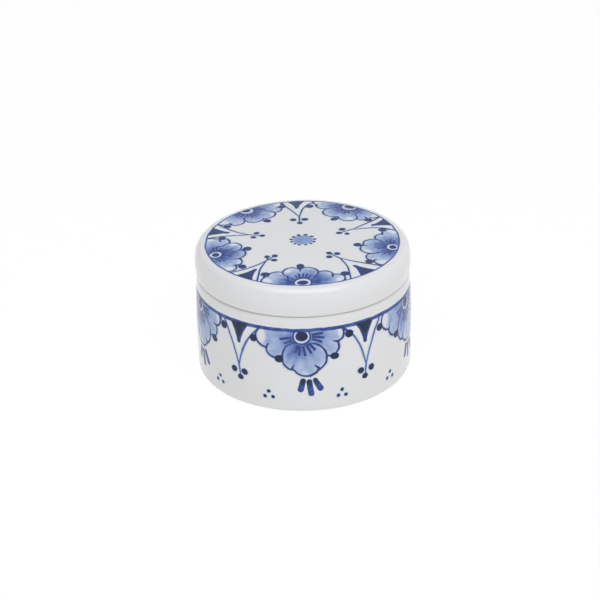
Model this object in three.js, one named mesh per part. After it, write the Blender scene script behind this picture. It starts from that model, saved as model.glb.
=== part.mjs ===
import * as THREE from 'three';

// A small round porcelain trinket box in two pieces: a cup-shaped base with a
// raised neck, and a loose cap lid that rests on the base's shoulder around
// that neck. Each piece is slip-cast, so its wall is about 3 mm thick all over.
// Millimetres, +Z up. The origin is the centre of the foot ring, on the plane
// that the box stands on.

// Flat sides in a full turn of every round surface.
const FACETS = 72;

// Base: foot and outside wall.
const FOOT_INNER_RADIUS = 32.0;
const FOOT_OUTER_RADIUS = 34.9;
const FOOT_RECESS = 1.6;
const BASE_BOTTOM_RADIUS = 37.3;
const BASE_CORNER_HEIGHT = 2.5;
const BELLY_RADIUS = 37.4;
const BELLY_HEIGHT = 12.0;
const WAIST_TOP_RADIUS = 37.1;
const WAIST_TOP_HEIGHT = 28.5;
const WAIST_RADIUS = 36.72;
const WAIST_HEIGHT = 33.4;
const SEAT_HEIGHT = 36.0;
const SHOULDER_WIDTH = 1.1;
const SHOULDER_HEIGHT = 2.3;

// Base: raised neck that keeps the lid in place.
const NECK_OUTER_RADIUS = 33.4;
const NECK_INNER_RADIUS = 31.0;
const NECK_TOP = 39.2;
const NECK_ROUND = 0.8;

// Base: inside.
const CAVITY_RADIUS = 34.2;
const CAVITY_FLOOR = 4.8;
const CAVITY_CORNER = 4.0;
const THROAT_TOP = 34.6;
const THROAT_BOTTOM = 31.0;

// Lid: outside.
const LID_GAP = 0.05;
const LID_RADIUS = 37.0;
const LID_RIM_RADIUS = 36.85;
const LID_RIM_ROUND = 1.0;
const LID_WIDEST_HEIGHT = 39.9;
const LID_EDGE_RADIUS = 33.5;
const LID_EDGE_HEIGHT = 46.1;
const LID_TOP = 46.8;
const LID_SHOULDER_FULLNESS = 2.6;

// Lid: inside.
const LID_BORE_RADIUS = 34.0;
const LID_BORE_ROUND = 0.6;
const LID_CEILING = 43.4;
const LID_CEILING_CORNER = 4.4;

// Points of a rounded corner about a centre, between two angles in degrees.
// A fullness of 2 is an ellipse, and a larger one is nearer to a square corner.
function corner(centreRadius, centreHeight, width, height, from, to, steps, fullness = 2) {
  const points = [];
  for (let step = 0; step <= steps; step += 1) {
    const angle = THREE.MathUtils.degToRad(THREE.MathUtils.lerp(from, to, step / steps));
    const across = Math.cos(angle);
    const up = Math.sin(angle);
    points.push(new THREE.Vector2(
      centreRadius + width * Math.sign(across) * Math.abs(across) ** (2 / fullness),
      centreHeight + height * Math.sign(up) * Math.abs(up) ** (2 / fullness),
    ));
  }
  return points;
}

// Points of a smooth step from one radius to another between two heights.
function ease(fromRadius, fromHeight, toRadius, toHeight, steps) {
  const points = [];
  for (let step = 0; step <= steps; step += 1) {
    const part = step / steps;
    const blend = (1 - Math.cos(Math.PI * part)) / 2;
    points.push(new THREE.Vector2(
      THREE.MathUtils.lerp(fromRadius, toRadius, blend),
      THREE.MathUtils.lerp(fromHeight, toHeight, part),
    ));
  }
  return points;
}

// Points of the lid's shallow dome, from its edge in to the axis.
function dome(steps) {
  const points = [];
  for (let step = 1; step <= steps; step += 1) {
    const radius = LID_EDGE_RADIUS * (1 - step / steps);
    const rise = 1 - (radius / LID_EDGE_RADIUS) ** 2;
    points.push(new THREE.Vector2(
      radius,
      LID_EDGE_HEIGHT + (LID_TOP - LID_EDGE_HEIGHT) * rise,
    ));
  }
  return points;
}

// Outline of the base: underside, foot ring, wall, shoulder, neck and inside.
function baseOutline() {
  return [
    new THREE.Vector2(0, FOOT_RECESS),
    ...corner(FOOT_INNER_RADIUS - FOOT_RECESS, 0, FOOT_RECESS, FOOT_RECESS, 90, 0, 3),
    ...corner(
      FOOT_OUTER_RADIUS,
      BASE_CORNER_HEIGHT,
      BASE_BOTTOM_RADIUS - FOOT_OUTER_RADIUS,
      BASE_CORNER_HEIGHT,
      -90,
      0,
      5,
    ),
    new THREE.Vector2(BELLY_RADIUS, BELLY_HEIGHT),
    ...ease(WAIST_TOP_RADIUS, WAIST_TOP_HEIGHT, WAIST_RADIUS, WAIST_HEIGHT, 4),
    ...corner(
      WAIST_RADIUS - SHOULDER_WIDTH,
      SEAT_HEIGHT - SHOULDER_HEIGHT,
      SHOULDER_WIDTH,
      SHOULDER_HEIGHT,
      0,
      90,
      5,
    ),
    new THREE.Vector2(NECK_OUTER_RADIUS, SEAT_HEIGHT),
    ...corner(
      NECK_OUTER_RADIUS - NECK_ROUND,
      NECK_TOP - NECK_ROUND,
      NECK_ROUND,
      NECK_ROUND,
      0,
      90,
      3,
    ),
    ...corner(
      NECK_INNER_RADIUS + NECK_ROUND,
      NECK_TOP - NECK_ROUND,
      NECK_ROUND,
      NECK_ROUND,
      90,
      180,
      3,
    ),
    ...ease(NECK_INNER_RADIUS, THROAT_TOP, CAVITY_RADIUS, THROAT_BOTTOM, 6),
    ...corner(
      CAVITY_RADIUS - CAVITY_CORNER,
      CAVITY_FLOOR + CAVITY_CORNER,
      CAVITY_CORNER,
      CAVITY_CORNER,
      0,
      -90,
      4,
    ),
    new THREE.Vector2(0, CAVITY_FLOOR),
  ];
}

// Outline of the lid: ceiling, bore, resting edge, side, shoulder and dome.
function lidOutline() {
  const rim = SEAT_HEIGHT + LID_GAP;
  return [
    new THREE.Vector2(0, LID_CEILING),
    ...corner(
      LID_BORE_RADIUS - LID_CEILING_CORNER,
      LID_CEILING - LID_CEILING_CORNER,
      LID_CEILING_CORNER,
      LID_CEILING_CORNER,
      90,
      0,
      4,
    ),
    ...corner(
      LID_BORE_RADIUS + LID_BORE_ROUND,
      rim + LID_BORE_ROUND,
      LID_BORE_ROUND,
      LID_BORE_ROUND,
      180,
      270,
      2,
    ),
    ...corner(
      LID_RIM_RADIUS - LID_RIM_ROUND,
      rim + LID_RIM_ROUND,
      LID_RIM_ROUND,
      LID_RIM_ROUND,
      -90,
      0,
      3,
    ),
    ...corner(
      LID_EDGE_RADIUS,
      LID_WIDEST_HEIGHT,
      LID_RADIUS - LID_EDGE_RADIUS,
      LID_EDGE_HEIGHT - LID_WIDEST_HEIGHT,
      0,
      90,
      8,
      LID_SHOULDER_FULLNESS,
    ),
    ...dome(5),
  ];
}

const glaze = new THREE.MeshStandardMaterial({
  color: 0xe4e5e2,
  roughness: 0.12,
  metalness: 0,
});

// A lathe-turned solid whose axis is +Z.
function turned(name, outline) {
  const geometry = new THREE.LatheGeometry(outline, FACETS);
  geometry.rotateX(Math.PI / 2);
  const mesh = new THREE.Mesh(geometry, glaze.clone());
  mesh.name = name;
  return mesh;
}

const trinketBox = new THREE.Group();
trinketBox.add(turned('box_base', baseOutline()));
trinketBox.add(turned('lid', lidOutline()));

export default trinketBox;
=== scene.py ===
import math
from functools import reduce

import bpy
import numpy as np
from mathutils import Matrix, Vector


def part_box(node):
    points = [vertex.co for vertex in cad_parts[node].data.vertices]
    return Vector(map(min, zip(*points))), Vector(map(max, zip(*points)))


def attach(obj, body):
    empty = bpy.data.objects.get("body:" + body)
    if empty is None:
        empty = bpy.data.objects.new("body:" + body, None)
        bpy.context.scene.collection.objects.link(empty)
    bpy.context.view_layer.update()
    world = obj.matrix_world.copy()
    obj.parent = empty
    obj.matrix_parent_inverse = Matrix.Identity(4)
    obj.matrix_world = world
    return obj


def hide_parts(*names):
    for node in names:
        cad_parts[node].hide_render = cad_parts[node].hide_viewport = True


# A round porcelain trinket box, white glaze painted by hand in cobalt blue.
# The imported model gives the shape. This script spins each piece's outline again
# as a fine mesh, and paints it with shader nodes. Paint is laid out in mm.

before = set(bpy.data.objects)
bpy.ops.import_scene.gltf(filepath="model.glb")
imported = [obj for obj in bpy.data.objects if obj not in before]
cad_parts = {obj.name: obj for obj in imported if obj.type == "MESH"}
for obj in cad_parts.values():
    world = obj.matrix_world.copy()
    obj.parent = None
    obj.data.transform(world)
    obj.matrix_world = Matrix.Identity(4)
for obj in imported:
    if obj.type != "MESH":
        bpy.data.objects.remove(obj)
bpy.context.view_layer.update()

MM = 0.001
BASE_LOW, BASE_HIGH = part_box("box_base")
LID_LOW, LID_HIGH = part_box("lid")
BASE_RADIUS = BASE_HIGH.x / MM
LID_RIM = LID_LOW.z / MM
LID_TOP = LID_HIGH.z / MM

# ---------------------------------------------------------------------------
# Numbers that vary over a surface
# ---------------------------------------------------------------------------


class Number:
    """An output of a shader's node tree. Arithmetic on it adds Math nodes."""

    def __init__(self, tree, socket):
        self.tree = tree
        self.socket = socket

    def __add__(self, other):
        return math_node("ADD", self, other)

    def __sub__(self, other):
        return math_node("SUBTRACT", self, other)

    def __rsub__(self, other):
        return math_node("SUBTRACT", other, self)

    def __mul__(self, other):
        return math_node("MULTIPLY", self, other)

    def __abs__(self):
        return math_node("ABSOLUTE", self)


def feed(tree, socket, value):
    """Links a Number to a socket, or sets the socket to a plain value."""
    if isinstance(value, Number):
        tree.links.new(value.socket, socket)
    else:
        socket.default_value = value


def tree_of(values):
    return next(value.tree for value in values if isinstance(value, Number))


def math_node(operation, *values, clamp=False):
    tree = tree_of(values)
    node = tree.nodes.new("ShaderNodeMath")
    node.operation = operation
    for socket, value in zip(node.inputs, values):
        feed(tree, socket, value)
    if not clamp:
        return Number(tree, node.outputs[0])
    # A Math node's own clamp is worked out late, which overfills the renderer's stack.
    limit = tree.nodes.new("ShaderNodeClamp")
    tree.links.new(node.outputs[0], limit.inputs["Value"])
    return Number(tree, limit.outputs[0])


def vector_node(operation, *values, output="Vector"):
    tree = tree_of(values)
    node = tree.nodes.new("ShaderNodeVectorMath")
    node.operation = operation
    for socket, value in zip(node.inputs, values):
        feed(tree, socket, value)
    return Number(tree, node.outputs[output])


def split(vector, axes="xyz"):
    """The vector's parts along the axes that are asked for, and no others."""
    units = {"x": (1.0, 0.0, 0.0), "y": (0.0, 1.0, 0.0), "z": (0.0, 0.0, 1.0)}
    return [vector_node("DOT_PRODUCT", vector, units[axis], output="Value") for axis in axes]


def channels(colour):
    node = colour.tree.nodes.new("ShaderNodeSeparateColor")
    feed(colour.tree, node.inputs[0], colour)
    return [Number(colour.tree, output) for output in node.outputs]


def join(x, y, z=0.0):
    tree = tree_of((x, y, z))
    node = tree.nodes.new("ShaderNodeCombineXYZ")
    for socket, value in zip(node.inputs, (x, y, z)):
        feed(tree, socket, value)
    return Number(tree, node.outputs[0])


def into_frame(point, x, y, turn=0.0, width=1.0, height=1.0):
    """The point seen from a frame at (x, y), turned by radians and scaled."""
    node = point.tree.nodes.new("ShaderNodeMapping")
    node.vector_type = "TEXTURE"
    node.inputs["Location"].default_value = (x, y, 0.0)
    node.inputs["Rotation"].default_value = (0.0, 0.0, turn)
    node.inputs["Scale"].default_value = (width, height, 1.0)
    feed(point.tree, node.inputs["Vector"], point)
    return Number(point.tree, node.outputs[0])


def noise(position, scale, detail=2.0, output="Fac"):
    node = position.tree.nodes.new("ShaderNodeTexNoise")
    node.inputs["Scale"].default_value = scale
    node.inputs["Detail"].default_value = detail
    feed(position.tree, node.inputs["Vector"], position)
    return Number(position.tree, node.outputs[output])


def ramp(value, stops):
    """A colour ramp's output for a list of (position, colour)."""
    node = value.tree.nodes.new("ShaderNodeValToRGB")
    elements = node.color_ramp.elements
    while len(elements) < len(stops):
        elements.new(1.0)
    for element, (position, colour) in zip(elements, stops):
        element.position = position
        element.color = (*colour, 1.0)
    feed(value.tree, node.inputs[0], value)
    return Number(value.tree, node.outputs[0])


# ---------------------------------------------------------------------------
# Brush marks. Each gives the distance in mm to its edge, negative inside.
# ---------------------------------------------------------------------------

STROKE_BLUR = 0.2
STEM_TAPER = 0.012


def union(distances):
    return reduce(lambda a, b: math_node("MINIMUM", a, b), distances)


def overlap(distances):
    return reduce(lambda a, b: math_node("MAXIMUM", a, b), distances)


def cover(distance, blur=STROKE_BLUR):
    """How much of the surface a mark covers, from 0 to 1, with a soft edge."""
    return math_node("MULTIPLY_ADD", distance, -1.0 / blur, 0.5, clamp=True)


def bleed(distance, reach=1.4, amount=0.2):
    """The faint cobalt that spreads into the glaze around a mark."""
    return cover(distance, reach) * amount


def dab(point, x, y, half_width, half_height=None):
    """A round spot, or an oval one when its half height is given too."""
    if half_height is None:
        return vector_node("DISTANCE", point, (x, y, 0.0), output="Value") - half_width
    size = math.sqrt(half_width * half_height)
    local = into_frame(point, x, y, width=half_width, height=half_height)
    return math_node("MULTIPLY_ADD", vector_node("LENGTH", local, output="Value"), size, -size)


def streak(point, start, end, start_width, end_width):
    """A straight stroke with round ends, whose width changes along it."""
    run = Vector(end) - Vector(start)
    local = into_frame(point, *start, turn=math.atan2(run.y, run.x))
    along, across = split(local, "xy")
    part = math_node("MULTIPLY", along, 1.0 / run.length, clamp=True)
    past = math_node("MULTIPLY_ADD", part, -run.length, along)
    reach = vector_node("LENGTH", join(past, across), output="Value")
    half = math_node("MULTIPLY_ADD", part, (end_width - start_width) / 2, start_width / 2)
    return reach - half


def stem(across, away, places, width):
    """A curved line through places (x, y), a little wider nearer to the ring."""
    heights = [y for _, y in places]
    bend = np.polyfit(heights, [x for x, _ in places], min(3, len(places) - 1))
    centre = math_node("MULTIPLY_ADD", away, bend[0], bend[1])
    for factor in bend[2:]:
        centre = math_node("MULTIPLY_ADD", centre, away, factor)
    half = math_node("MULTIPLY_ADD", away, -STEM_TAPER, width / 2 + STEM_TAPER * max(heights))
    return abs(across - centre) - half


def around_eye(point, eye):
    """The distance from a flower's eye, and the turn about it from straight away."""
    x, y = split(vector_node("SUBTRACT", point, (*eye, 0.0)), "xy")
    return vector_node("LENGTH", join(x, y), output="Value"), math_node("ARCTAN2", x, y)


def stamens(out, turn, rays, inner, thickness):
    """Fine strokes that spread from the eye: rays are (degrees, reach).

    A colour ramp over the turn holds, for every direction, how near the closest
    stroke is in its first channel and how far that stroke reaches in its second.
    """
    arc = 120.0
    spread = 9.0
    longest = 10.0
    place = math_node("MULTIPLY_ADD", turn, 90.0 / math.pi / arc, 0.5, clamp=True)
    stops = {}
    for degrees, reach in rays:
        for side in (-1, 1):
            stops[degrees + side * spread] = (0.0, reach)
    for (left, left_reach), (right, _) in zip(rays, rays[1:]):
        half = (right - left) / 2
        if half < spread:
            stops.pop(left + spread, None)
            stops.pop(right - spread, None)
            stops[left + half] = (1.0 - half / spread, left_reach)
    for degrees, reach in rays:
        stops[degrees] = (1.0, reach)
    table = [
        ((degrees / arc + 1.0) / 2, (near, reach / longest, 0.0))
        for degrees, (near, reach) in sorted(stops.items())
    ]
    near, reach, _ = channels(ramp(place, table))
    away = math_node("MULTIPLY_ADD", near, -math.radians(spread), math.radians(spread))
    across = math_node("MULTIPLY_ADD", away, out, -thickness / 2)
    return overlap([across, math_node("MULTIPLY_ADD", reach, -longest, out), inner - out])


# ---------------------------------------------------------------------------
# Motifs. A motif's own frame is in mm: x along the painted ring, and y away
# from the ring. Each motif gives how dense its cobalt is, from 0 to 1.
# ---------------------------------------------------------------------------

# The marks given further down follow the photographed painting closely, stroke by stroke, and are not a
# generic pattern. report.md says why that is an open failure, and what would make the pattern a generic
# one.
#
# What a motif's marks hold:
#   line, hair     width of its outline or stems, and of its stamens
#   eye, pupil     the eye's centre, and the half width and half height of its dark spot
#   halo, clear    radius of the pale disc round the pupil, and how much cobalt it loses
#   gap            from the halo to where the stamens start
#   rays           the stamens, as (degrees, reach)
#   wash, shade    density of the petals' thin cobalt, and what is added near the eye
#   deep, pale     spots (x, y, radius) where the wash is denser, by an amount, or missing
#   petal, sides   the lobes of the petal in front and of those behind it, as dabs
#   ticks, dots    short strokes between lobes, and dark dabs
#   wedge          left, right, tip_x and tip_y of a trellis's dark wedge
#   foot, stems    where a trellis's stems meet, and the places they run through
#   twigs          ends of short straight strokes that also start at the foot
#   ink, stem      density of the darkest marks, and of a trellis's stems
#   tassels        the strokes under a side flower, from start to end
#   angle          on the lid, the direction in degrees that the motif hangs from

LINE = 0.80
HAIR = 0.78
LINE_WAVER = 3.0
TICK_WIDTHS = (0.95, 0.4)
RIM = 0.6

EYE_FADE = 6.5
PALE_EDGE = 0.09
PALE_LOBE = 0.9
HAIR_CONTRAST = 0.36

WEDGE_EDGE = 0.80
WEDGE_TIP = 0.7
WEDGE_CURVE = 1.6
WEDGE_CORE = 0.45


def petal_wash(point, out, turn, petals, marks, mottle):
    """Thin cobalt in the petals: deeper by the eye, and pale along the edges."""
    near_eye = math_node("MULTIPLY_ADD", out, -1.0 / EYE_FADE, 1.5, clamp=True)
    density = math_node("MULTIPLY_ADD", near_eye, marks["shade"], marks["wash"])
    hairs = noise(join(turn * 5.0, out * 0.12, marks["eye"][0]), 1.0)
    density = density + math_node("MULTIPLY_ADD", hairs, HAIR_CONTRAST, -HAIR_CONTRAST / 2)
    edge = cover(math_node("MULTIPLY_ADD", petals, -1.0, -1.3), blur=2.2)
    density = math_node("MULTIPLY_ADD", edge, -PALE_EDGE, density)
    for x, y, radius, amount in marks["deep"]:
        density = math_node("MULTIPLY_ADD", cover(dab(point, x, y, radius), radius), amount, density)
    density = density + mottle
    for x, y, radius in marks["pale"]:
        density = density * (1.0 - cover(dab(point, x, y, radius), 1.3) * PALE_LOBE)
    return density


def flower(point, marks, mottle):
    """A flower whose eye lies by the ring: petals, outline, stamens, eye and dots."""
    out, turn = around_eye(point, marks["eye"])
    front = union([dab(point, *lobe) for lobe in marks["petal"]])
    back = union([dab(point, *lobe) for lobe in marks["sides"]])
    petals = union([front, back])
    density = petal_wash(point, out, turn, petals, marks, mottle) * cover(petals)

    width = marks["line"]
    behind = overlap([abs(back) - width / 2, math_node("MULTIPLY", front, -1.0)])
    ticks = [streak(point, start, end, *TICK_WIDTHS) for start, end in marks["ticks"]]
    outline = union([abs(front) - width / 2, behind, *ticks]) - mottle * LINE_WAVER
    light = math_node("MULTIPLY_ADD", out, -1.0 / 5.0, 1.8, clamp=True)
    tone = math_node("MULTIPLY_ADD", light, -0.12, LINE + 0.02)
    density = overlap([density, cover(outline) * tone, bleed(outline, 1.6, 0.3)])

    rays = stamens(out, turn, marks["rays"], marks["halo"] + marks["gap"], marks["hair"])
    density = overlap([density, cover(rays) * HAIR])

    halo = out - marks["halo"]
    density = density * (1.0 - cover(halo) * marks["clear"])
    rim = abs(halo - RIM / 2) - RIM / 2
    density = overlap([density, cover(rim) * LINE])

    pupil = dab(point, *marks["eye"], *marks["pupil"])
    dark = union([dab(point, *dot) for dot in marks["dots"]])
    ink = cover(union([pupil, dark])) * marks["ink"]
    return overlap([density, ink, bleed(dark)])


def trellis(point, marks):
    """A dark wedge that hangs from the ring, in a V of two stems with three dots."""
    across, away = split(point, "xy")
    left, right, tip_x, tip_y = marks["wedge"]
    part = math_node("MULTIPLY_ADD", away, -1.0 / tip_y, 1.0, clamp=True)
    flare = math_node("POWER", part, WEDGE_CURVE)
    lean = math_node("MULTIPLY_ADD", flare, (left + right) / 2 - tip_x, tip_x)
    half = math_node("MULTIPLY_ADD", flare, (right - left) / 2 - WEDGE_TIP, WEDGE_TIP)
    wedge = overlap([abs(across - lean) - half, away - tip_y])
    wedge = union([wedge, dab(point, tip_x, tip_y, WEDGE_TIP)])
    tone = math_node("MULTIPLY_ADD", part, 0.3, 0.83, clamp=True) * marks["ink"]
    density = overlap([cover(wedge) * WEDGE_EDGE, cover(wedge + WEDGE_CORE, 0.7) * tone])

    foot = Vector(marks["foot"])
    lines = [stem(across, away, [*places, foot], marks["line"]) for places in marks["stems"]]
    lines = overlap([union(lines), away - foot.y])
    stalk = streak(point, foot, marks["dots"][-1][:2], marks["line"] + 0.1, marks["line"])
    twigs = [streak(point, foot, end, marks["line"], marks["line"]) for end in marks["twigs"]]
    lines = union([lines, stalk, *twigs])
    density = overlap([density, cover(lines) * marks["stem"], bleed(lines, amount=0.22)])

    dark = union([dab(point, *dot) for dot in marks["dots"]])
    return overlap([density, cover(dark) * marks["ink"], bleed(dark)])


# ---------------------------------------------------------------------------
# The lid's painting: a ring, five flowers, five trellises and a rosette
# ---------------------------------------------------------------------------

RING_RADIUS = 33.05
RING_WIDTH = 0.62
RING_TONE = 0.66
MOTIF_RADIUS = 33.35
# Nothing is painted lower than this under the lid's highest point.
PAINTED_CROWN = 2.0
LID_RAYS = (
    (-86, 5.6), (-70, 6.2), (-54, 5.4), (-26, 5.8), (-12, 6.4),
    (2, 6.2), (15, 6.5), (29, 5.7), (57, 5.6), (72, 6.2), (88, 5.6),
)
LID_FLOWER = {
    "line": 0.64,
    "hair": 0.72,
    "halo": 2.3,
    "gap": 0.45,
    "pupil": (1.45, 1.3),
    "clear": 0.86,
    "ink": 0.85,
    "wash": 0.26,
    "shade": 0.27,
    "rays": LID_RAYS,
    "deep": [(4.5, 3.5, 3.0, 0.1), (-4.5, 3.5, 3.0, 0.1), (1.5, 7.0, 2.5, 0.06)],
    "pale": [(-12.4, 3.6, 2.1), (12.7, 3.8, 2.0), (-5.2, 10.3, 1.4)],
}
LID_PETAL_ROOTS = [(-0.7, 5.4, 4.3)]
LID_SIDE_ROOTS = [(-7.0, 1.5, 6.3, 4.9), (7.0, 1.5, 6.3, 4.9), (0.0, 2.0, 5.0)]
LID_FLOWERS = [
    {
        "angle": -90.0,
        "eye": (-0.2, 2.1),
        "halo": 2.6,
        "pupil": (1.8, 1.45),
        "petal": [(-3.6, 9.3, 3.1), (1.5, 8.9, 3.5)],
        "sides": [(-8.3, 6.7, 3.1), (-10.8, 4.0, 2.9), (6.9, 6.6, 3.2), (11.2, 5.0, 2.6)],
        "ticks": [((-0.9, 12.6), (-1.0, 9.8)), ((9.7, 7.3), (9.6, 5.6)), ((-12.6, 7.2), (-13.5, 4.9))],
        "dots": [(-0.9, 13.4, 1.3, 1.7), (-12.5, 8.4, 1.6, 1.35), (13.9, 7.9, 1.55, 1.45)],
        "deep": [(-5.5, 2.8, 3.2, 0.16), (6.5, 3.4, 3.6, 0.18), (3.8, 8.0, 3.2, 0.12)],
    },
    {
        "angle": 196.9,
        "eye": (0.4, 2.6),
        "halo": 2.05,
        "petal": [(-2.9, 9.3, 3.3), (2.3, 8.6, 3.8)],
        "sides": [(-8.2, 6.5, 3.3), (-9.8, 3.4, 2.9), (7.8, 6.6, 3.1), (11.3, 4.2, 2.5)],
        "ticks": [((0.1, 12.6), (0.0, 10.2)), ((-10.6, 7.0), (-8.3, 6.7)), ((10.6, 7.8), (10.2, 6.0))],
        "dots": [(0.2, 13.7, 1.45), (-11.2, 8.1, 1.5, 1.25), (12.2, 8.5, 1.5, 1.4)],
        "deep": [(-4.0, 3.8, 3.0, 0.1), (4.5, 4.5, 3.0, 0.1), (1.0, 7.8, 4.2, 0.12)],
    },
    {
        "angle": 126.7,
        "eye": (0.3, 1.0),
        "halo": 2.5,
        "pupil": (1.55, 1.2),
        "clear": 0.78,
        "petal": [(-2.8, 8.3, 3.4), (2.3, 8.2, 3.4)],
        "sides": [(-7.6, 5.9, 3.2), (-10.2, 3.0, 2.9), (8.7, 6.0, 3.3), (12.0, 3.6, 2.6)],
        "ticks": [((-10.5, 6.0), (-8.8, 6.1)), ((11.3, 7.2), (11.0, 5.8))],
        "dots": [(0.1, 13.0, 1.35, 1.55), (-11.2, 6.6, 1.4, 1.25), (13.5, 7.8, 1.4)],
    },
    {
        "angle": 58.0,
        "eye": (0.0, 1.5),
        "halo": 2.6,
        "pupil": (1.8, 1.2),
        "clear": 0.7,
        "petal": [(-3.9, 9.4, 3.3), (2.2, 8.1, 4.0)],
        "sides": [(-8.0, 6.4, 3.0), (-10.3, 3.0, 2.8), (8.2, 4.7, 3.0), (11.4, 2.8, 2.5)],
        "ticks": [((-10.4, 6.8), (-8.6, 5.9)), ((10.8, 6.2), (11.1, 5.1))],
        "dots": [(-0.8, 13.3, 1.3, 1.7), (-11.2, 7.7, 1.45), (12.6, 7.9, 1.5)],
    },
    {
        "angle": -11.2,
        "eye": (-0.1, 2.2),
        "halo": 2.1,
        "petal": [(-2.9, 9.3, 3.5), (0.8, 8.9, 3.6)],
        "sides": [(-8.6, 6.9, 3.0), (-10.9, 4.0, 3.0), (6.6, 6.2, 3.1), (10.9, 4.6, 2.7)],
        "ticks": [((-1.0, 13.0), (-1.1, 10.6)), ((-12.0, 7.1), (-10.0, 6.2)), ((9.0, 7.3), (11.4, 7.4))],
        "dots": [(-0.9, 14.1, 1.4), (-12.4, 8.2, 1.5, 1.4), (12.7, 7.6, 1.55)],
    },
]
LID_TRELLISES = [
    {
        "angle": 91.3,
        "wedge": (-2.2, 4.9, 1.2, 6.4),
        "foot": (0.6, 14.3),
        "stems": [[(-4.7, 1.8), (-1.9, 5.4), (-0.5, 9.5)], [(6.2, 1.6), (4.7, 5.5), (2.6, 9.7)]],
        "dots": [(-1.3, 16.8, 1.25), (2.7, 16.9, 1.15), (0.4, 19.7, 1.05)],
    },
    {
        "angle": 163.9,
        "wedge": (-3.4, 3.6, -0.2, 6.6),
        "foot": (0.0, 14.6),
        "stems": [[(-6.1, 1.2), (-2.8, 6.0), (-0.9, 10.2)], [(5.2, 1.4), (2.6, 6.8), (1.4, 10.4)]],
        "dots": [(-1.6, 16.6, 0.95), (1.9, 16.5, 1.0), (0.0, 19.1, 0.95)],
    },
    {
        "angle": 232.8,
        "wedge": (-2.9, 4.3, 0.4, 6.7),
        "foot": (-0.4, 14.4),
        "stems": [[(-5.3, 0.9), (-2.5, 6.0), (-1.1, 9.8)], [(5.5, 1.1), (2.9, 5.5), (1.0, 9.5)]],
        "dots": [(-1.9, 16.1, 1.0), (1.5, 15.6, 1.0), (-0.2, 18.2, 1.0)],
        "twigs": [(-1.9, 16.1), (1.3, 15.9)],
    },
    {
        "angle": -47.8,
        "wedge": (-4.7, 2.8, -0.7, 7.0),
        "foot": (-0.6, 14.4),
        "stems": [[(-7.6, 1.8), (-5.0, 5.1), (-2.5, 9.2)], [(5.3, 1.9), (3.1, 6.0), (1.0, 10.2)]],
        "dots": [(-2.5, 17.4, 1.05), (1.0, 17.3, 1.05), (-0.7, 19.4, 1.05)],
    },
    {
        "angle": 26.2,
        "wedge": (-4.3, 2.7, -0.7, 6.4),
        "foot": (-0.6, 14.2),
        "stems": [[(-7.2, 1.5), (-3.3, 5.8), (-1.9, 9.6)], [(4.5, 0.8), (2.7, 4.7), (1.2, 8.7)]],
        "dots": [(-3.0, 17.7, 0.95), (0.9, 17.5, 1.15), (-1.2, 19.9, 1.05)],
    },
]
LID_TRELLIS = {"line": 0.5, "stem": 0.78, "ink": 0.86, "twigs": []}
ROSETTE_CENTRE = (0.17, -0.3)
ROSETTE_RADIUS = 3.45
ROSETTE_WASH = 0.42
ROSETTE_SPOKE = 4.0
ROSETTE_DOTS = (112, 77, 40, 6, -23, -48, -76, -109, -133, -161, 171, 141)


def rosette(point, mottle):
    """A pale disc in the middle of the lid, with a circle of dots round it."""
    disc = dab(point, *ROSETTE_CENTRE, ROSETTE_RADIUS)
    dots = []
    for degrees in ROSETTE_DOTS:
        spoke = Vector((ROSETTE_SPOKE, 0.0))
        spoke.rotate(Matrix.Rotation(math.radians(degrees), 2))
        place = Vector(ROSETTE_CENTRE) + spoke
        dots.append(dab(point, *place, 0.6 + 0.1 * math.sin(math.radians(degrees))))
    dark = union(dots)
    wash = cover(disc, 0.5) * (mottle + ROSETTE_WASH)
    return overlap([wash, cover(dark) * 0.92, bleed(dark, 1.2)])


def from_ring(point, angle):
    """The lid's point in the frame of a motif that grows inwards at an angle."""
    turned = into_frame(point, 0.0, 0.0, turn=math.radians(angle + 90.0))
    return vector_node("ADD", turned, (0.0, MOTIF_RADIUS, 0.0))


def paint_lid(position, wobble, mottle):
    """The density of cobalt over the lid. Only its top is painted, out to the ring."""
    point = vector_node("MULTIPLY_ADD", position, (1.0, 1.0, 0.0), wobble)
    density = rosette(point, mottle)
    for marks in LID_FLOWERS:
        marks = {**LID_FLOWER, **marks}
        marks["petal"] = marks["petal"] + LID_PETAL_ROOTS
        marks["sides"] = marks["sides"] + LID_SIDE_ROOTS
        local = from_ring(point, marks["angle"])
        density = overlap([density, flower(local, marks, mottle)])
    for marks in LID_TRELLISES:
        local = from_ring(point, marks["angle"])
        density = overlap([density, trellis(local, {**LID_TRELLIS, **marks})])
    radius = vector_node("LENGTH", point, output="Value")
    density = density * cover(radius - RING_RADIUS)
    ring = cover(abs(radius - RING_RADIUS) - RING_WIDTH / 2)
    density = overlap([density, ring * RING_TONE])
    (height,) = split(position, "z")
    return density * cover(LID_TOP - PAINTED_CROWN - height)


# ---------------------------------------------------------------------------
# The side's painting: a ring, five flowers with tassels, five trellises
# ---------------------------------------------------------------------------

# The height of the painted ring's middle, and of the line that the motifs hang from.
SIDE_RING = 31.42
SIDE_MOTIFS = 31.6
SIDE_RING_WIDTH = 1.25
SIDE_RING_TONE = 0.71
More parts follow.
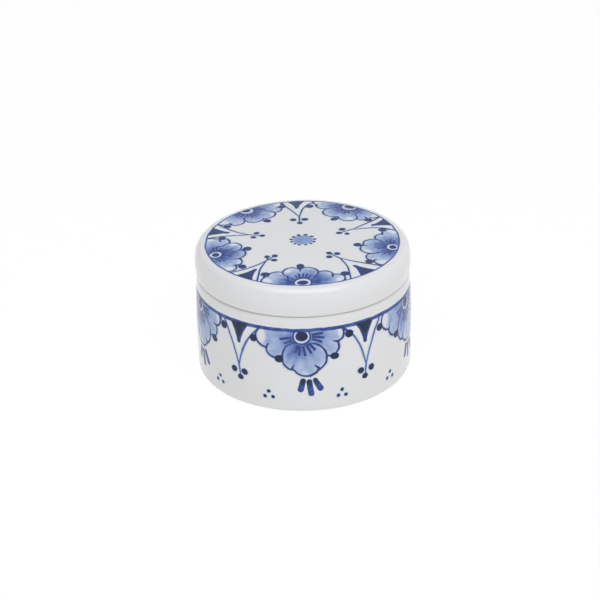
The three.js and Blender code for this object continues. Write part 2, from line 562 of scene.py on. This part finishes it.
# Nothing is painted further in than this from the wall's widest radius.
OUTER_SKIN = 1.5
TASSEL_WIDTHS = (1.85, 2.1)
SIDE_FLOWER = {
    "line": 0.74,
    "hair": 0.98,
    "eye": (-0.95, 2.2),
    "halo": 2.62,
    "gap": 0.8,
    "pupil": (2.12, 1.8),
    "clear": 0.76,
    "ink": 1.0,
    "wash": 0.30,
    "shade": 0.22,
    "rays": (
        (-80, 7.5), (-64, 6.5), (-20, 6.5), (-9, 7.2), (9, 7.4),
        (26, 7.1), (40, 6.9), (71, 7.3), (83, 7.7), (96, 7.2),
    ),
    "deep": [(-4.0, 7.5, 4.0, 0.12), (5.0, 3.0, 3.0, 0.05)],
    "pale": [(-17.3, 3.0, 4.2), (15.4, 1.4, 4.0)],
    "petal": [(-2.4, 9.5, 5.0), (-3.6, 10.9, 3.9), (2.2, 10.1, 5.1), (0.35, 13.0, 4.4, 4.1)],
    "sides": [
        (-13.1, 3.3, 3.7), (-9.9, 7.2, 3.2), (-6.5, 3.2, 4.2), (-9.0, 1.0, 4.5),
        (10.6, 2.2, 2.9), (8.4, 6.8, 3.2), (5.8, 3.4, 4.0), (8.0, 1.0, 4.5), (-0.9, 2.4, 4.6),
    ],
    "ticks": [
        ((-13.1, 7.3), (-12.3, 5.6)), ((11.4, 5.2), (9.5, 4.7)),
        ((-4.3, 14.3), (-3.6, 12.9)), ((4.6, 14.1), (3.3, 12.9)),
        ((13.4, 0.5), (14.7, 2.2)), ((1.6, 17.0), (3.5, 15.8)),
    ],
    "dots": [(-8.7, 10.8, 1.6, 1.35), (10.0, 10.3, 1.6, 1.3), (-17.6, 4.5, 1.35), (15.3, 3.1, 1.45)],
    "tassels": [
        ((-0.75, 18.9), (-1.65, 22.3)), ((1.25, 19.2), (1.9, 23.8)), ((3.3, 18.7), (5.1, 21.9)),
    ],
}
SIDE_FLOWERS = (0.0, -69.5, 69.5, -142.0, 142.0)
SIDE_TRELLIS = {
    "line": 0.6,
    "stem": 0.63,
    "ink": 1.0,
    "twigs": [],
    "wedge": (-3.7, 4.2, 0.1, 7.2),
    "foot": (-0.1, 16.2),
    "stems": [
        [(-5.4, 2.0), (-4.15, 4.6), (-1.75, 10.2), (-0.55, 14.4)],
        [(7.8, 0.8), (4.8, 4.1), (1.9, 9.3), (0.5, 13.9)],
    ],
    "dots": [(-2.2, 18.1, 1.2), (2.05, 18.2, 1.3, 1.2), (0.45, 20.6, 1.15, 1.05)],
}
SIDE_TRELLISES = (-36.0, 33.0, -106.5, 106.5, 180.0)
SEED_RADIUS = 0.66
SEEDS = ((12.5, 23.6), (11.1, 25.6), (13.9, 25.7))


def tassels(point, strokes):
    """Three short thick strokes under a flower, darkest where the brush landed."""
    tones = []
    for start, end in strokes:
        mark = cover(streak(point, start, end, *TASSEL_WIDTHS))
        landed = cover(dab(point, *start, 1.5), 1.6)
        tones.append(mark * math_node("MULTIPLY_ADD", landed, 0.22, 0.74))
    return overlap(tones)


def along_wall(degrees):
    """The distance in mm round the wall from the front to an angle in degrees."""
    return math.radians(degrees) * BASE_RADIUS


def nearest(around, places):
    """How far along the wall it is from the nearest of some places in degrees."""
    # Each place also counts a full turn away, as far as is needed past 180 degrees.
    beyond_seam = 250.0
    everywhere = sorted(place + turn for place in places for turn in (-360.0, 0.0, 360.0))
    reached = [place for place in everywhere if abs(place) < beyond_seam]
    offset = around - along_wall(reached[0])
    for before, after in zip(reached, reached[1:]):
        passed = math_node("GREATER_THAN", around, along_wall((before + after) / 2))
        offset = math_node("MULTIPLY_ADD", passed, along_wall(before - after), offset)
    return offset


def seed_dots(around, away):
    """Ten groups of three small dots, one low down on each side of every flower."""
    point = join(abs(nearest(around, SIDE_FLOWERS)), away)
    dots = union([dab(point, x, y, SEED_RADIUS) for x, y in SEEDS])
    return overlap([cover(dots) * 0.88, bleed(dots, 1.2)])


def paint_side(position, wobble, mottle):
    """The density of cobalt round the wall's outside, from the ring down."""
    x, y, height = split(position)
    bump_x, bump_y = split(wobble, "xy")
    angle = math_node("ARCTAN2", x, math_node("MULTIPLY", y, -1.0))
    around = math_node("MULTIPLY_ADD", angle, BASE_RADIUS, bump_x)
    away = (SIDE_MOTIFS - height) + bump_y
    density = seed_dots(around, away)
    point = join(nearest(around, SIDE_FLOWERS), away)
    density = overlap([density, flower(point, SIDE_FLOWER, mottle)])
    density = overlap([density, tassels(point, SIDE_FLOWER["tassels"])])
    mirror = math_node("MULTIPLY", math_node("SIGN", around), -1.0)
    point = join(nearest(around, SIDE_TRELLISES) * mirror, away)
    density = overlap([density, trellis(point, SIDE_TRELLIS)])
    below = away - (SIDE_MOTIFS - SIDE_RING)
    density = density * cover(math_node("MULTIPLY", below, -1.0))
    ring = cover(abs(below) - SIDE_RING_WIDTH / 2)
    density = overlap([density, ring * SIDE_RING_TONE])
    radius = vector_node("LENGTH", join(x, y), output="Value")
    return density * cover(BASE_RADIUS - OUTER_SKIN - radius)


# ---------------------------------------------------------------------------
# Glazed porcelain
# ---------------------------------------------------------------------------

COBALT = [
    (0.00, (0.785, 0.785, 0.790)),
    (0.10, (0.620, 0.680, 0.780)),
    (0.25, (0.400, 0.490, 0.710)),
    (0.38, (0.276, 0.373, 0.624)),
    (0.50, (0.160, 0.240, 0.510)),
    (0.62, (0.080, 0.140, 0.380)),
    (0.76, (0.023, 0.055, 0.265)),
    (0.88, (0.025, 0.044, 0.140)),
    (1.00, (0.004, 0.015, 0.056)),
]
BISCUIT = (0.72, 0.69, 0.63, 1.0)
GLAZE_SPECULAR = 0.38
WOBBLE = 0.7
MOTTLE = 0.08
CENTRED = (-WOBBLE / 2, -WOBBLE / 2, 0.0)
RIPPLES = 0.9
GLAZE_ROUGHNESS = 0.13
CLAY_ROUGHNESS = 0.73


def porcelain(name, paint, bare):
    """White glaze over cobalt paint. Where the bare mask is 1, the clay shows."""
    material = bpy.data.materials.new(name)
    material.use_nodes = True
    tree = material.node_tree
    shader = tree.nodes["Principled BSDF"]
    place = tree.nodes.new("ShaderNodeTexCoord")
    position = Number(tree, place.outputs["Object"])
    position = vector_node("MULTIPLY", position, (1.0 / MM,) * 3)

    sway, drift, _ = channels(noise(position, 0.22, detail=3.0, output="Color"))
    wobble = vector_node("MULTIPLY_ADD", join(sway, drift), (WOBBLE, WOBBLE, 0.0), CENTRED)
    tone = noise(position, 0.5, detail=3.0)
    mottle = math_node("MULTIPLY_ADD", tone, MOTTLE, -MOTTLE / 2)
    density = paint(position, wobble, mottle)
    density = density * math_node("MULTIPLY_ADD", tone, 0.5, 0.77)
    colour = ramp(density, COBALT)

    mask = bare(position)
    mix = tree.nodes.new("ShaderNodeMix")
    mix.data_type = "RGBA"
    feed(tree, mix.inputs["Factor"], mask)
    feed(tree, mix.inputs["A"], colour)
    mix.inputs["B"].default_value = BISCUIT
    tree.links.new(mix.outputs["Result"], shader.inputs["Base Color"])

    shader.inputs["Specular IOR Level"].default_value = GLAZE_SPECULAR
    rough = math_node("MULTIPLY_ADD", mask, CLAY_ROUGHNESS - GLAZE_ROUGHNESS, GLAZE_ROUGHNESS)
    feed(tree, shader.inputs["Roughness"], rough)

    bump = tree.nodes.new("ShaderNodeBump")
    bump.inputs["Strength"].default_value = 0.35
    bump.inputs["Distance"].default_value = 0.02 * MM
    feed(tree, bump.inputs["Height"], noise(position, RIPPLES))
    tree.links.new(bump.outputs["Normal"], shader.inputs["Normal"])
    return material


# The radii and heights between which the clay shows, in mm, with a soft edge.
BARE_EDGE = 0.3
BARE_DEPTH = 0.35
RIM_DEPTH = 0.25
FOOT_INSIDE = 31.0
SEAT_INSIDE = 33.0
SEAT_OUTSIDE = 35.9


def bare_foot(position):
    """The base is bare on its foot ring and on the seat that the lid rests on."""
    x, y, height = split(position)
    radius = vector_node("LENGTH", join(x, y), output="Value")
    foot = overlap([height - BARE_DEPTH, FOOT_INSIDE - radius])
    level = abs(height - LID_RIM) - BARE_DEPTH
    seat = overlap([level, SEAT_INSIDE - radius, radius - SEAT_OUTSIDE])
    return cover(union([foot, seat]), BARE_EDGE)


def bare_rim(position):
    """The lid is bare on the narrow rim that rests on the seat."""
    (height,) = split(position, "z")
    return cover(height - LID_RIM - RIM_DEPTH, BARE_EDGE)


# ---------------------------------------------------------------------------
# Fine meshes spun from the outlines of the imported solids
# ---------------------------------------------------------------------------

TURNS = 360
STEP = 0.5 * MM
SHARP = math.radians(40.0)
LONG_RUN = 2.5


def outline_of(node):
    """The solid's section at x = 0, y <= 0, as an ordered list of (radius, height)."""
    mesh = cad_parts[node].data
    half_plane = {
        vertex.index: (round(-vertex.co.y, 7), round(vertex.co.z, 7))
        for vertex in mesh.vertices
        if abs(vertex.co.x) < 1e-6 and vertex.co.y < 1e-6
    }
    links = {}
    for edge in mesh.edges:
        if all(index in half_plane for index in edge.vertices):
            a, b = (half_plane[index] for index in edge.vertices)
            if a != b and (a[0] > 0.0 or b[0] > 0.0):
                links.setdefault(a, set()).add(b)
                links.setdefault(b, set()).add(a)
    ends = [point for point, others in links.items() if point[0] == 0.0]
    walk = [min(ends, key=lambda point: point[1])]
    while len(walk) < len(links):
        ahead = [point for point in links[walk[-1]] if point not in walk]
        if not ahead:
            break
        walk.append(ahead[0])
    return [Vector(point) for point in walk]


def smooth_outline(corners):
    """Rounds the outline between its sharp corners, and keeps its long runs straight."""
    runs = [after - before for before, after in zip(corners, corners[1:])]
    leave, arrive = [run.normalized() for run in runs], [run.normalized() for run in runs]
    for index in range(1, len(runs)):
        before, after = runs[index - 1], runs[index]
        if before.angle(after) > SHARP:
            continue
        if before.length > LONG_RUN * after.length:
            tangent = before.normalized()
        elif after.length > LONG_RUN * before.length:
            tangent = after.normalized()
        else:
            tangent = (before / before.length**2 + after / after.length**2).normalized()
        arrive[index - 1] = tangent
        leave[index] = tangent
    points = []
    for index, run in enumerate(runs):
        steps = max(1, math.ceil(run.length / STEP))
        for step in range(steps):
            part = step / steps
            reach = run.length * part * (1.0 - part)
            pull = leave[index] * (1.0 - part) - arrive[index] * part
            chord = run * (part * part * (3.0 - 2.0 * part))
            points.append(corners[index] + chord + pull * reach)
    return points + [corners[-1]]


def spin(name, outline):
    """A closed mesh: the outline turned once about +Z."""
    points = smooth_outline(outline)
    rings = points[1:-1]
    angles = np.arange(TURNS) * (2.0 * math.pi / TURNS)
    vertices = [(0.0, 0.0, points[0].y)]
    for radius, height in rings:
        circle = np.stack([radius * np.cos(angles), radius * np.sin(angles)], axis=1)
        vertices.extend((x, y, height) for x, y in circle)
    vertices.append((0.0, 0.0, points[-1].y))
    last = len(vertices) - 1
    top = last - TURNS
    faces = []
    for turn in range(TURNS):
        after = (turn + 1) % TURNS
        faces.append((0, 1 + after, 1 + turn))
        faces.append((last, top + turn, top + after))
        for ring in range(len(rings) - 1):
            low = 1 + ring * TURNS
            high = low + TURNS
            faces.append((low + turn, low + after, high + after, high + turn))
    mesh = bpy.data.meshes.new(name)
    mesh.from_pydata(vertices, [], faces)
    mesh.polygons.foreach_set("use_smooth", [True] * len(faces))
    mesh.set_sharp_from_angle(angle=SHARP)
    mesh.update()
    piece = bpy.data.objects.new(name, mesh)
    bpy.context.scene.collection.objects.link(piece)
    return piece


def porcelain_piece(name, node, body, material):
    piece = spin(name, outline_of(node))
    piece.data.materials.append(material)
    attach(piece, body)
    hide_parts(node)


porcelain_piece("painted_base", "box_base", "base", porcelain("base_glaze", paint_side, bare_foot))
porcelain_piece("painted_lid", "lid", "lid", porcelain("lid_glaze", paint_lid, bare_rim))

# ---------------------------------------------------------------------------
# Floor, light and camera
# ---------------------------------------------------------------------------


def make_floor():
    """A flat white floor that glows, so that it comes out as white as the backdrop."""
    size = 4.0
    mesh = bpy.data.meshes.new("floor")
    corners = [(-size, -size, 0.0), (size, -size, 0.0), (size, size, 0.0), (-size, size, 0.0)]
    mesh.from_pydata(corners, [], [(0, 1, 2, 3)])
    floor = bpy.data.objects.new("floor", mesh)
    bpy.context.scene.collection.objects.link(floor)
    material = bpy.data.materials.new("floor")
    material.use_nodes = True
    shader = material.node_tree.nodes["Principled BSDF"]
    shader.inputs["Base Color"].default_value = (0.06, 0.06, 0.06, 1.0)
    shader.inputs["Roughness"].default_value = 0.9
    shader.inputs["Specular IOR Level"].default_value = 0.0
    shader.inputs["Emission Color"].default_value = (1.0, 1.0, 1.0, 1.0)
    shader.inputs["Emission Strength"].default_value = 0.95
    mesh.materials.append(material)


def make_world(overhead, behind, right, left):
    """The room's light, dimmer overhead than at the sides. Its backdrop is plain white."""
    world = bpy.data.worlds.new("studio")
    bpy.context.scene.world = world
    world.use_nodes = True
    tree = world.node_tree
    sky = tree.nodes["Background"]
    sky.inputs["Color"].default_value = (1.0, 1.0, 1.0, 1.0)
    place = tree.nodes.new("ShaderNodeTexCoord")
    side, depth, height = split(Number(tree, place.outputs["Generated"]))
    height = math_node("MULTIPLY", height, 1.0, clamp=True)
    walls = math_node("MULTIPLY", depth, 1.0, clamp=True) * behind
    walls = walls + math_node("MULTIPLY", side, 1.0, clamp=True) * right
    walls = walls + math_node("MULTIPLY", side, -1.0, clamp=True) * left
    strength = walls * (1.0 - height) + height * overhead
    feed(tree, sky.inputs["Strength"], strength)

    seen = tree.nodes.new("ShaderNodeBackground")
    seen.inputs["Color"].default_value = (1.0, 1.0, 1.0, 1.0)
    seen.inputs["Strength"].default_value = 0.97
    ray = tree.nodes.new("ShaderNodeLightPath")
    mix = tree.nodes.new("ShaderNodeMixShader")
    tree.links.new(ray.outputs["Is Camera Ray"], mix.inputs["Fac"])
    tree.links.new(sky.outputs["Background"], mix.inputs[1])
    tree.links.new(seen.outputs["Background"], mix.inputs[2])
    tree.links.new(mix.outputs["Shader"], tree.nodes["World Output"].inputs["Surface"])


def make_softbox(name, tilt, radiance):
    """A wide panel above the object, tilted towards the front by some degrees."""
    width = 1.0
    depth = 0.25
    distance = 0.85
    target = Vector((0.0, 0.0, 0.03))
    away = Vector((0.0, -math.sin(math.radians(tilt)), math.cos(math.radians(tilt))))
    light = bpy.data.lights.new(name, "AREA")
    light.shape = "RECTANGLE"
    light.size = width
    light.size_y = depth
    light.energy = math.pi * width * depth * radiance
    light.color = (0.965, 0.985, 1.0)
    lamp = bpy.data.objects.new(name, light)
    lamp.location = target + away * distance
    lamp.rotation_euler = away.to_track_quat("Z", "Y").to_euler()
    bpy.context.scene.collection.objects.link(lamp)


def make_camera():
    """The photo's viewpoint, from a fit of its ellipses: a long lens that looks down."""
    elevation = math.radians(27.574)
    roll = math.radians(-1.213)
    distance = 0.61712
    target = Vector((0.0, 0.0, 0.023))
    ahead = Vector((0.0, math.cos(elevation), -math.sin(elevation)))
    right = Vector((1.0, 0.0, 0.0))
    up = Vector((0.0, math.sin(elevation), math.cos(elevation)))
    rolled_right = right * math.cos(roll) + up * math.sin(roll)
    rolled_up = up * math.cos(roll) - right * math.sin(roll)
    data = bpy.data.cameras.new("camera")
    data.sensor_width = 36.0
    data.lens = 106.6
    data.shift_x = -0.00607
    data.shift_y = 0.00215
    camera = bpy.data.objects.new("camera", data)
    axes = Matrix((rolled_right, rolled_up, -ahead)).transposed()
    camera.matrix_world = Matrix.Translation(target - ahead * distance) @ axes.to_4x4()
    bpy.context.scene.collection.objects.link(camera)
    bpy.context.scene.camera = camera


make_floor()
make_world(overhead=0.27, behind=0.86, right=0.66, left=0.06)
for name, tilt, radiance in (("top", 8, 2.0), ("upper_front", 25, 2.4), ("front", 42, 3.5)):
    make_softbox(name, tilt, radiance)
make_camera()
bpy.context.scene.view_settings.view_transform = "Standard"
